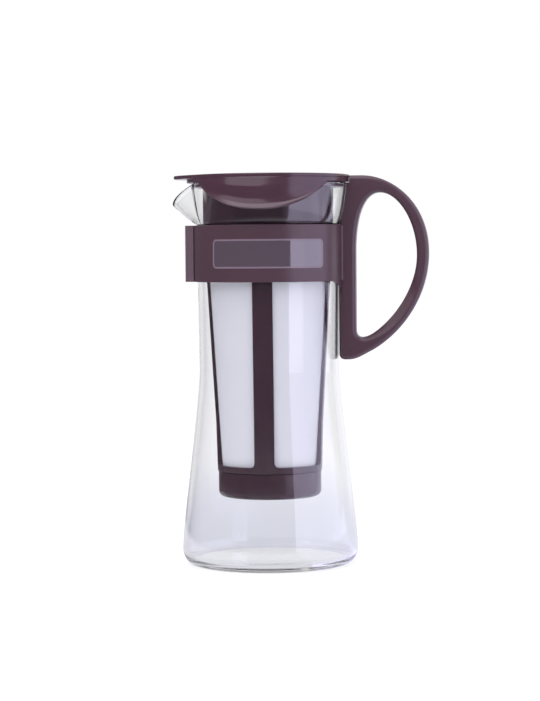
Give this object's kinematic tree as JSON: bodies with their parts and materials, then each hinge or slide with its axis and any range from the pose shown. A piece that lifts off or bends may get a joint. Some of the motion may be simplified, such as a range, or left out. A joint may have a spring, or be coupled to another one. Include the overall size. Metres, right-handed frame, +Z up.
{
  "type": "cold brew coffee maker",
  "caption": "Glass cold brew jug with a pour spout, a handle moulded to a neck band, a beaked lid and a hanging mesh strainer with a twist-off cap.",
  "frame": {"origin": "centre of the jug's flat foot, on the surface it stands on", "axes": "+Z up along the jug's axis, -X to the spout, +X to the handle"},
  "size_m": [0.1366, 0.0952, 0.2075],
  "materials": {
    "glass": "clear blown borosilicate glass",
    "handle": "dark brown moulded plastic, semi-gloss",
    "clip": "dark brown moulded plastic, semi-gloss",
    "frame": "dark brown moulded plastic, semi-gloss",
    "mesh": "fine white filter cloth, slightly translucent",
    "cap": "dark brown moulded plastic, semi-gloss",
    "lid": "dark brown moulded plastic, polished"
  },
  "bodies": {
    "jug": {"glass_jug": "glass", "handle_band": "handle"},
    "clip": {"band_clip": "clip"},
    "strainer": {"strainer_frame": "frame", "strainer_mesh": "mesh"},
    "cap": {"strainer_cap": "cap"},
    "lid": {"lid": "lid"}
  },
  "joints": [
    {"name": "strainer_lift", "type": "slide", "parent": "jug", "child": "strainer", "axis": [0, 0, 1], "range_m": [0, 0.18]},
    {"name": "lid_lift", "type": "slide", "parent": "strainer", "child": "lid", "axis": [0, 0, 1], "range_m": [0, 0.06]},
    {"name": "cap_twist", "type": "hinge", "parent": "strainer", "child": "cap", "pos_m": [0, 0, 0.045], "axis": [0, 0, 1], "range_deg": [0, 35]},
    {"name": "clip_slide", "type": "slide", "parent": "jug", "child": "clip", "axis": [0, 0, -1], "range_m": [0, 0.034]}
  ]
}
